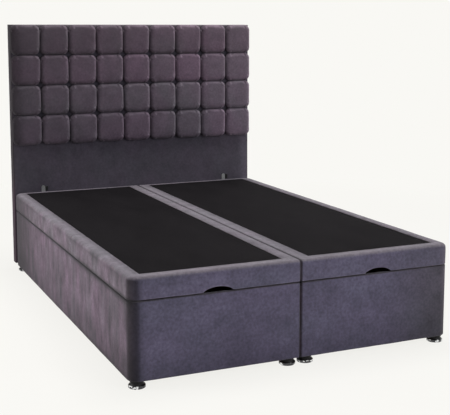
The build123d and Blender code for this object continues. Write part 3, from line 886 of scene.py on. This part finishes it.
def make_lid_cover(half):
    """The velvet border of a lid, rolled over its top edge and turned under at the bottom."""
    low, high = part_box(f"lid_cover_{half}")
    outer, join = outer_and_join(low, high, half)
    bm = lid_blank(low, high, outer, join)
    open_window(bm, low, high)
    slice_evenly(bm, X, low, high, OUTER_RADIUS, GRID_PITCH)
    slice_at(bm, X, arch_columns((low.x + high.x) / 2))
    slice_evenly(bm, Y, low, high, OUTER_RADIUS, LID_LENGTH_PITCH)
    slice_at(bm, Y, [SEAM_PLACES[half] + SEAM_REACH * step for step in SEAM_STEPS])
    slice_at(bm, Z, [low.z + cut for cut in LID_EDGE_CUTS])
    slice_at(bm, Z, spaced(low.z + LID_EDGE_CUTS[-1], high.z - LID_ROLL_RADIUS, LID_HEIGHT_PITCH))
    press(bm, lid_press(low, high, half))
    open_handhold(bm, low, high)

    # Painted light and shade of a lid: tinted by facing, darker round the corners, on the sides, underneath
    # and along the pull line, with a painted highlight at its ends' lower edge
    def painted_shade_of(place, normal):
        corner = corner_painted_shade(place, normal, half, low, high, LID_CORNER_SHARE[half])
        shade = side_shade(place, normal, LID_SIDE_STRENGTH)
        edge = place.z - lower_edge(place, low, high)
        shade *= edge_shade(place, normal, edge, LID_EDGE_REACHES, LID_END_EDGE_HIGHLIGHT)
        shade *= between(LID_UNDER_SHADE, 1, ease(normal.z, *LID_UNDER_FACING))
        # Painted shade along the pull line, over its real dent
        shade *= 1 - pull_line(place, normal, high) * PULL_SHADE
        return painted_light_by_facing(normal, LID_PAINTED_LIGHT) * corner * shade

    name = f"velvet_lid_{half}"
    piece = make_piece(name, bm, velvet_lid, f"lid_{half}", VELVET_THICKNESS, painted_shade_of)
    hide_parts(f"lid_cover_{half}")


CLOTH_CORNER_RADIUS = 0.008
CLOTH_CORNER_SEGMENTS = 4
CLOTH_EDGE_CUTS = (0.003, 0.008, 0.018)
CLOTH_PITCH = 0.036
CLOTH_THICKNESS = 0.0008
CLOTH_TUCK = dict(depth=0.0022, reach=0.006)
CLOTH_SLACK = dict(mean=-0.0004, change=0.0004, size=0.19, seed=4)


def make_lid_cloth(half):
    """The black cloth stretched over the top of a lid, dipping into its seam."""
    low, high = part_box(f"lid_cloth_{half}")
    bm = solid_box(low, high)
    top = faces_at(bm, Z, high.z)
    remove_faces(bm, [face for face in bm.faces if face not in top])
    bmesh.ops.bevel(bm, geom=bm.verts[:], offset=CLOTH_CORNER_RADIUS, offset_type="OFFSET",
                    segments=CLOTH_CORNER_SEGMENTS, profile=0.5, affect="VERTICES", material=-1)
    for axis in (X, Y):
        slice_at(bm, axis, [low[axis] + cut for cut in CLOTH_EDGE_CUTS])
        slice_at(bm, axis, [high[axis] - cut for cut in CLOTH_EDGE_CUTS])
    for axis in (X, Y):
        slice_evenly(bm, axis, low, high, CLOTH_EDGE_CUTS[-1], CLOTH_PITCH)
    for vert in bm.verts:
        inside = min(vert.co.x - low.x, high.x - vert.co.x, vert.co.y - low.y, high.y - vert.co.y)
        vert.co.z += uneven(vert.co, **CLOTH_SLACK) - fading(max(inside, 0), **CLOTH_TUCK)
    name = f"platform_cloth_{half}"
    piece = make_piece(name, bm, platform_cloth, f"lid_{half}", CLOTH_THICKNESS)
    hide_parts(f"lid_cloth_{half}")


for half in HALVES:
    make_box_cover(half)
    make_lid_cover(half)
    make_lid_cloth(half)


# Headboard

# Painted light and shade of the headboard's velvet: a darker plain panel, darker to the left and lighter at
# the right end, a painted highlight on the top edge and painted shade on the side edges
PLAIN_PAINTED_SHADE = Vector((0.575, 0.585, 0.64))
PLAIN_LEFT_SHADE = 0.8
PLAIN_LEFT_REACH = (0.3, 0.6)
PLAIN_RIGHT_PAINTED_LIGHT = 0.5
PLAIN_RIGHT_REACH = (0.6, 0.672)
TOP_EDGE_HIGHLIGHT = Vector((0.86, 0.83, 0.83))
TOP_EDGE_REACH = (0.014, 0.005)
BOARD_SIDE_SHADE = Vector((0.13, 0.125, 0.13))
BOARD_SIDE_LOW_SHADE = Vector((0.3, 0.2, 0.25))
SIDE_EDGE_LOW_REACH = (0.34, 0.6)
SIDE_EDGE_FACING = (0.02, 0.4)
BOARD_EDGE_RADIUS = 0.006
BOARD_BACK_RADIUS = 0.0018
BOARD_EDGE_SEGMENTS = 3
BOARD_DEPTH_PITCH = 0.011
BOARD_VELVET = 0.0008
BOARD_SLACK = dict(mean=0.0006, change=0.0006, size=0.18, seed=6)
BACK_REACH = (0.012, 0.004)
BACK_CLEARANCE = 0.0006
BACK_TUCK_DEPTH = 0.0005
BACK_TUCKS = dict(size=0.022, seed=8)
PAD_PULL = dict(depth=0.0012, reach=0.03)
PAD_PULLS = dict(mean=1, change=1, size=0.03, seed=2)


def make_headboard_cover():
    """The velvet over the headboard, wrapped round its edges on to the back."""
    low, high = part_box("headboard_cover")
    pads_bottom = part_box("headboard_cubes")[0].z
    bm = solid_box(low, high)
    round_off(bm, edges_at(bm, Y, low.y), BOARD_EDGE_RADIUS, BOARD_EDGE_SEGMENTS)
    round_off(bm, edges_at(bm, Y, high.y), BOARD_BACK_RADIUS, BOARD_EDGE_SEGMENTS)
    back = faces_at(bm, Y, high.y)
    turned = LINING_BORDER - BOARD_BACK_RADIUS
    bmesh.ops.inset_region(bm, faces=back, thickness=turned, use_even_offset=True)
    remove_faces(bm, back)
    slice_evenly(bm, X, low, high, BOARD_EDGE_RADIUS, GRID_PITCH)
    slice_evenly(bm, Z, low, high, BOARD_EDGE_RADIUS, GRID_PITCH)
    slice_evenly(bm, Y, low, high, BOARD_EDGE_RADIUS, BOARD_DEPTH_PITCH)

    def depth(place, normal):
        behind = ease(place.y, *(high.y - reach for reach in BACK_REACH))
        slack = uneven(place, **BOARD_SLACK) * (1 - behind)
        pull = fading(abs(pads_bottom - place.z), **PAD_PULL)
        pull *= uneven(Vector((place.x, 0, 0)), **PAD_PULLS)
        tucks = BACK_TUCK_DEPTH * wave(Vector((place.x, place.z, 0)), **BACK_TUCKS)
        return slack + pull * max(0, -normal.y) + (tucks - BACK_CLEARANCE) * behind

    # The painted light and shade of the headboard's velvet
    def painted_shade_of(place, normal):
        side = ease(abs(normal.x), *SIDE_EDGE_FACING)
        top = ease(place.z, *(high.z - reach for reach in TOP_EDGE_REACH))
        plain = PLAIN_PAINTED_SHADE * between(1, PLAIN_LEFT_SHADE, ease(-place.x, *PLAIN_LEFT_REACH))
        plain *= 1 + PLAIN_RIGHT_PAINTED_LIGHT * ease(place.x, *PLAIN_RIGHT_REACH)
        side_edge = BOARD_SIDE_LOW_SHADE.lerp(BOARD_SIDE_SHADE, ease(place.z, *SIDE_EDGE_LOW_REACH))
        return plain.lerp(TOP_EDGE_HIGHLIGHT, top).lerp(side_edge, side)

    press(bm, depth)
    piece = make_piece("velvet_headboard", bm, velvet_headboard, "base", BOARD_VELVET, painted_shade_of)
    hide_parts("headboard_cover")


LINING_BORDER = 0.04
LINING_THICKNESS = 0.0006
LINING_CLEARANCE = 0.0004
LINING_WIDTH_PITCH = 0.02
LINING_HEIGHT_PITCH = 0.03
LINING_SAG = 0.006
LINING_FREE_REACH = (0.004, 0.11)
LINING_SLACK = dict(mean=0.65, change=0.5, size=0.16, seed=11)
UPRIGHT_WIDTH = 0.045
UPRIGHT_COUNT = 4


def make_lining():
    """The lining stapled over the back of the headboard, sagging a little between its uprights."""
    low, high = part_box("headboard_lining")
    frame_low, frame_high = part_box("headboard_uprights")
    reach = frame_high.x - frame_low.x - UPRIGHT_WIDTH
    uprights = [(number / (UPRIGHT_COUNT - 1) - 0.5) * reach for number in range(UPRIGHT_COUNT)]
    bm = solid_box(low, high)
    back = faces_at(bm, Y, high.y)
    remove_faces(bm, [face for face in bm.faces if face not in back])
    slice_at(bm, X, spaced(low.x, high.x, LINING_WIDTH_PITCH))
    slice_at(bm, Z, spaced(low.z, high.z, LINING_HEIGHT_PITCH))
    for vert in bm.verts:
        clear = min(abs(vert.co.x - middle) for middle in uprights) - UPRIGHT_WIDTH / 2
        clear = min(clear, vert.co.z - frame_low.z, frame_high.z - vert.co.z)
        sag = LINING_SAG * ease(clear, *LINING_FREE_REACH) * uneven(vert.co, **LINING_SLACK)
        vert.co.y += LINING_CLEARANCE - sag
    piece = make_piece("back_lining", bm, spun_lining, "base", LINING_THICKNESS)
    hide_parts("headboard_lining")


CUBE_COLUMNS = 9
CUBE_ROWS = 4
PAD_KINDS = 4
PAD_SEED = 12
PAD_SPACING = 3
PAD_SIDE_RADIUS = 0.031
PAD_FRONT_RADIUS = 0.0155
PAD_SEGMENTS = 6
PAD_GAP = 0.0008
PAD_PITCH = 0.008
PAD_DEPTH_PITCH = 0.004
PAD_DOME = 0.006
PAD_DOME_REACH = 0.026
PAD_CROWN = 0.01
PAD_BUMPS = dict(mean=0, change=0.0012, size=0.045)
PAD_BUMP_SEED = 3
PAD_SHIFTS = dict(mean=0, change=0.001, size=0.06)
PAD_SHIFT_SEED = 1
PAD_HELD_DEPTH = 0.008
PAD_PRESSURE = 2.6
PAD_FRAMES = 20
PAD_MOST_SWELL = 0.01
PAD_MASS = 0.3
PAD_STIFFNESS = dict(tension=12, compression=12, shear=5, bending=0.6)
PAD_STREAKS = 0.55
# Painted light and shade of the pads: a base tint, painted highlights on rims, and painted shade away from
# the light, at the left end and in the grooves
PAD_TINT = Vector((0.68, 0.6, 0.665))
PAD_RIM_HIGHLIGHT = Vector((1.6, 1.48, 1.56))
PAD_FAR_SHADE = 0.6
PAD_LEAN = Vector((0.8, 0, 0.86))
PAD_LEAN_REACH = (0.28, 0.72)
PAD_LEVELLING = 0.75
PAD_LEVELLED = 0.34
PAD_LEFT_SHADE = 0.36
PAD_LEFT_REACH = (0, 0.075)
PAD_BRIGHTENING = 0.42
PAD_GROOVE_SHADE = 0.06
PAD_GROOVE_GREEN = 0.78
PAD_GROOVE_REACH = (0.006, 0.021)
PAD_TONES = ((1, 1, 1), (1.02, 0.99, 1.01), (0.97, 0.98, 0.98), (1.02, 0.985, 1.01),
             (0.98, 0.975, 0.98))
PAD_ROW_TONES = ((1.07, 1.11, 1.1), (1.06, 1.14, 1.09), (1.15, 1.1, 1.12), (0.98, 0.95, 0.94))


def crown(inside):
    """The rise of a pad's front at a distance inside its edge: steep at first, flat in the middle."""
    return 1 - (1 - min(1, max(0, inside) / PAD_DOME_REACH)) ** 2


def make_pad_blank(width, height, depth):
    """One pad before it is stuffed: rounded sides and front, open at the back, face towards -Y."""
    low = Vector((-width / 2, -depth, -height / 2))
    high = Vector((width / 2, 0, height / 2))
    bm = solid_box(low, high)
    round_off(bm, edges_along(bm, Y), PAD_SIDE_RADIUS, PAD_SEGMENTS)
    round_off(bm, edges_at(bm, Y, low.y), PAD_FRONT_RADIUS, PAD_SEGMENTS)
    remove_faces(bm, faces_at(bm, Y, high.y))
    slice_evenly(bm, X, low, high, PAD_FRONT_RADIUS, PAD_PITCH)
    slice_evenly(bm, Z, low, high, PAD_FRONT_RADIUS, PAD_PITCH)
    slice_at(bm, Y, spaced(low.y + PAD_FRONT_RADIUS, high.y, PAD_DEPTH_PITCH))
    for vert in bm.verts:
        rise = crown(high.x - abs(vert.co.x)) * crown(high.z - abs(vert.co.z))
        vert.co.y -= PAD_DOME * rise * vert.co.y / low.y
    return bm


def pad_painted_shade(place, normal, left, back, tones):
    """Painted light and shade on the pads: painted highlights on rims that face up and right, painted shade
    on rims that face away, on the leftmost column and in the grooves, and lighter towards the right.
    """
    lean = normal.dot(PAD_LEAN)
    clear_of_groove = ease(back - place.y, *PAD_GROOVE_REACH)
    tint = PAD_TINT.lerp(PAD_RIM_HIGHLIGHT, ease(lean, *PAD_LEAN_REACH))
    tint *= between(1, PAD_FAR_SHADE, ease(-lean, *PAD_LEAN_REACH))
    # Painted light on faces that tilt down and painted shade on faces that tilt up, which evens out the
    # shading over the dome
    tint *= 1 - PAD_LEVELLING * max(-PAD_LEVELLED, min(PAD_LEVELLED, normal.z))
    tint *= between(PAD_LEFT_SHADE, 1, ease(place.x - left, *PAD_LEFT_REACH))
    tint *= (1 + PAD_BRIGHTENING * place.x) * between(PAD_GROOVE_SHADE, 1, clear_of_groove)
    tint.y *= between(PAD_GROOVE_GREEN, 1, clear_of_groove)
    for tone in tones:
        tint *= Vector(tone)
    return tint


def swell(piece, held):
    """Stuff a piece by cloth pressure, with some vertices held, and keep the swollen shape."""
    group = piece.vertex_groups.new(name="held")
    group.add(held, 1, "REPLACE")
    modifier = piece.modifiers.new("swell", "CLOTH")
    settings = modifier.settings
    settings.use_pressure = True
    settings.uniform_pressure_force = PAD_PRESSURE
    settings.effector_weights.gravity = 0
    settings.vertex_group_mass = "held"
    settings.mass = PAD_MASS
    for kind, stiffness in PAD_STIFFNESS.items():
        setattr(settings, f"{kind}_stiffness", stiffness)
    modifier.point_cache.frame_start = 1
    modifier.point_cache.frame_end = PAD_FRAMES
    scene = bpy.context.scene
    for number in range(1, PAD_FRAMES + 1):
        scene.frame_set(number)
    graph = bpy.context.evaluated_depsgraph_get()
    swollen = piece.evaluated_get(graph).data
    moved = [swollen.vertices[vert.index].co.copy() for vert in piece.data.vertices]
    piece.modifiers.remove(modifier)
    piece.vertex_groups.clear()
    scene.frame_set(1)
    for vert, place in zip(piece.data.vertices, moved):
        move = place - vert.co
        if move.length > PAD_MOST_SWELL:
            move *= PAD_MOST_SWELL / move.length
        vert.co += move


def make_pad_kinds(width, height, depth):
    """A few pads, stuffed side by side, each a little different; returns their meshes."""
    spacing = PAD_SPACING * width
    joined = bmesh.new()
    for kind in range(PAD_KINDS):
        blank = make_pad_blank(width, height, depth)
        seed = PAD_BUMP_SEED + kind
        press(blank, lambda place, normal: uneven(place, seed=seed, **PAD_BUMPS))
        bmesh.ops.translate(blank, verts=blank.verts, vec=(kind * spacing, 0, 0))
        joined.from_mesh(finished_mesh("pad_blank", blank))
    mesh = finished_mesh("pad_kinds", joined)
    piece = add_object("pad_kinds", mesh)
    held = [vert.index for vert in mesh.vertices if vert.co.y > -PAD_HELD_DEPTH]
    swell(piece, held)
    kinds = []
    for kind in range(PAD_KINDS):
        one = bmesh.new()
        one.from_mesh(mesh)
        away = [vert for vert in one.verts if abs(vert.co.x - kind * spacing) > spacing / 2]
        bmesh.ops.delete(one, geom=away, context="VERTS")
        bmesh.ops.translate(one, verts=one.verts, vec=(-kind * spacing, 0, 0))
        for vert in one.verts:
            vert.co.x = max(-width / 2, min(width / 2, vert.co.x))
            vert.co.z = max(-height / 2, min(height / 2, vert.co.z))
        kinds.append(finished_mesh(f"pad_{kind}", one))
    bpy.data.objects.remove(piece)
    return kinds


def make_pads():
    """Four rows of cube pads over the upper part of the headboard."""
    low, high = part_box("headboard_cubes")
    column_pitch = (high.x - low.x) / CUBE_COLUMNS
    row_pitch = (high.z - low.z) / CUBE_ROWS
    depth = high.y - low.y
    kinds = make_pad_kinds(column_pitch - PAD_GAP, row_pitch - PAD_GAP, depth - PAD_CROWN)
    chance = random.Random(PAD_SEED)
    for row in range(CUBE_ROWS):
        bm = bmesh.new()
        tones = []
        for column in range(CUBE_COLUMNS):
            first = len(bm.verts)
            bm.from_mesh(chance.choice(kinds))
            bm.verts.ensure_lookup_table()
            added = bm.verts[first:]
            centre = (low.x + column_pitch * (column + 0.5), high.y, low.z + row_pitch * (row + 0.5))
            bmesh.ops.translate(bm, verts=added, vec=centre)
            for vert in added:
                vert.co.y += uneven(vert.co, seed=PAD_SHIFT_SEED + row, **PAD_SHIFTS)
            tones.append(chance.choice(PAD_TONES))

        def painted_shade_of(place, normal):
            column = min(CUBE_COLUMNS - 1, int((place.x - low.x) / column_pitch))
            return pad_painted_shade(place, normal, low.x, high.y, (tones[column], PAD_ROW_TONES[row]))

        name = f"cube_pads_row_{row + 1}"
        piece = make_piece(name, bm, velvet_headboard, "base", None, painted_shade_of, PAD_STREAKS)
        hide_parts("headboard_cubes")


make_headboard_cover()
make_lining()
make_pads()


# Floor, backdrop and light

BACKGROUND = (0.947, 0.939, 0.905)
WORLD_FILL = 0.27
FILL_COLOUR = (0.95, 0.96, 1)
FLOOR_SIZE = 60
FLOOR_LIT_SHARE = 0.11
FLOOR_LIT_REACH = (1.6, 3.6)


def seen_plainly(tree):
    """1 for a ray from the camera, from gloss or through glass, else 0."""
    paths = tree.nodes.new("ShaderNodeLightPath")
    seen = paths.outputs["Is Camera Ray"]
    for name in ("Is Glossy Ray", "Is Transmission Ray"):
        seen = calculate(tree, "MAXIMUM", seen, paths.outputs[name])
    return seen


def coloured(tree, kind, colour):
    """A new node of a kind that shines or spreads one colour."""
    node = tree.nodes.new(kind)
    set_sockets(node, {"Color": (*colour, 1)})
    return node


def show_mixed(tree, share, first, second, output_kind):
    """Mix the shaders of two nodes by a share, and lead the mix to the tree's output."""
    mix = tree.nodes.new("ShaderNodeMixShader")
    output = tree.nodes.new(output_kind)
    tree.links.new(share, mix.inputs[0])
    tree.links.new(first.outputs[0], mix.inputs[1])
    tree.links.new(second.outputs[0], mix.inputs[2])
    tree.links.new(mix.outputs[0], output.inputs[0])


def make_world():
    """A pale world that shows the plain background and lights softly from all round."""
    world = bpy.data.worlds.new("studio")
    world.use_nodes = True
    tree = world.node_tree
    tree.nodes.clear()
    shown = coloured(tree, "ShaderNodeBackground", BACKGROUND)
    fill = coloured(tree, "ShaderNodeBackground", FILL_COLOUR)
    set_sockets(fill, {"Strength": WORLD_FILL})
    show_mixed(tree, seen_plainly(tree), fill, shown, "ShaderNodeOutputWorld")
    bpy.context.scene.world = world


def make_floor():
    """A pale floor that keeps a soft shadow near the bed and fades into the background."""
    material = bpy.data.materials.new("floor")
    material.use_nodes = True
    tree = material.node_tree
    tree.nodes.clear()
    paint = coloured(tree, "ShaderNodeBsdfDiffuse", BACKGROUND)
    glow = coloured(tree, "ShaderNodeEmission", BACKGROUND)
    distance = tree.nodes.new("ShaderNodeVectorMath")
    distance.operation = "LENGTH"
    tree.links.new(tree.nodes.new("ShaderNodeTexCoord").outputs["Object"], distance.inputs[0])
    plain = map_range(tree, distance.outputs["Value"], FLOOR_LIT_REACH, (1 - FLOOR_LIT_SHARE, 1))
    share = calculate(tree, "MULTIPLY", seen_plainly(tree), plain)
    show_mixed(tree, share, paint, glow, "ShaderNodeOutputMaterial")
    bm = bmesh.new()
    bmesh.ops.create_grid(bm, x_segments=1, y_segments=1, size=FLOOR_SIZE / 2)
    mesh = finished_mesh("floor", bm)
    mesh.materials.append(material)
    floor = add_object("floor", mesh)


def make_lamp(name, place, target, size, power, colour):
    """A square soft box at a place, facing a target."""
    data = bpy.data.lights.new(name, "AREA")
    data.shape = "SQUARE"
    data.size = size
    data.energy = power
    data.color = colour
    lamp = add_object(name, data)
    lamp.location = place
    lamp.rotation_mode = "QUATERNION"
    lamp.rotation_quaternion = (Vector(target) - Vector(place)).to_track_quat("-Z", "Y")


make_world()
make_floor()
make_lamp("overhead", place=(0.6, 0.2, 4.6), target=(0, 0, 0.4), size=2.4, power=150,
          colour=(1, 0.99, 0.98))
make_lamp("front_right", place=(2.2, -4.2, 2.4), target=(0.2, 0, 0.5), size=2, power=56,
          colour=(0.94, 0.95, 1))
make_lamp("left", place=(-4.2, 0.6, 2.2), target=(-0.3, 0, 0.4), size=2, power=82,
          colour=(1, 0.97, 0.97))

bpy.context.scene.view_settings.view_transform = "Standard"
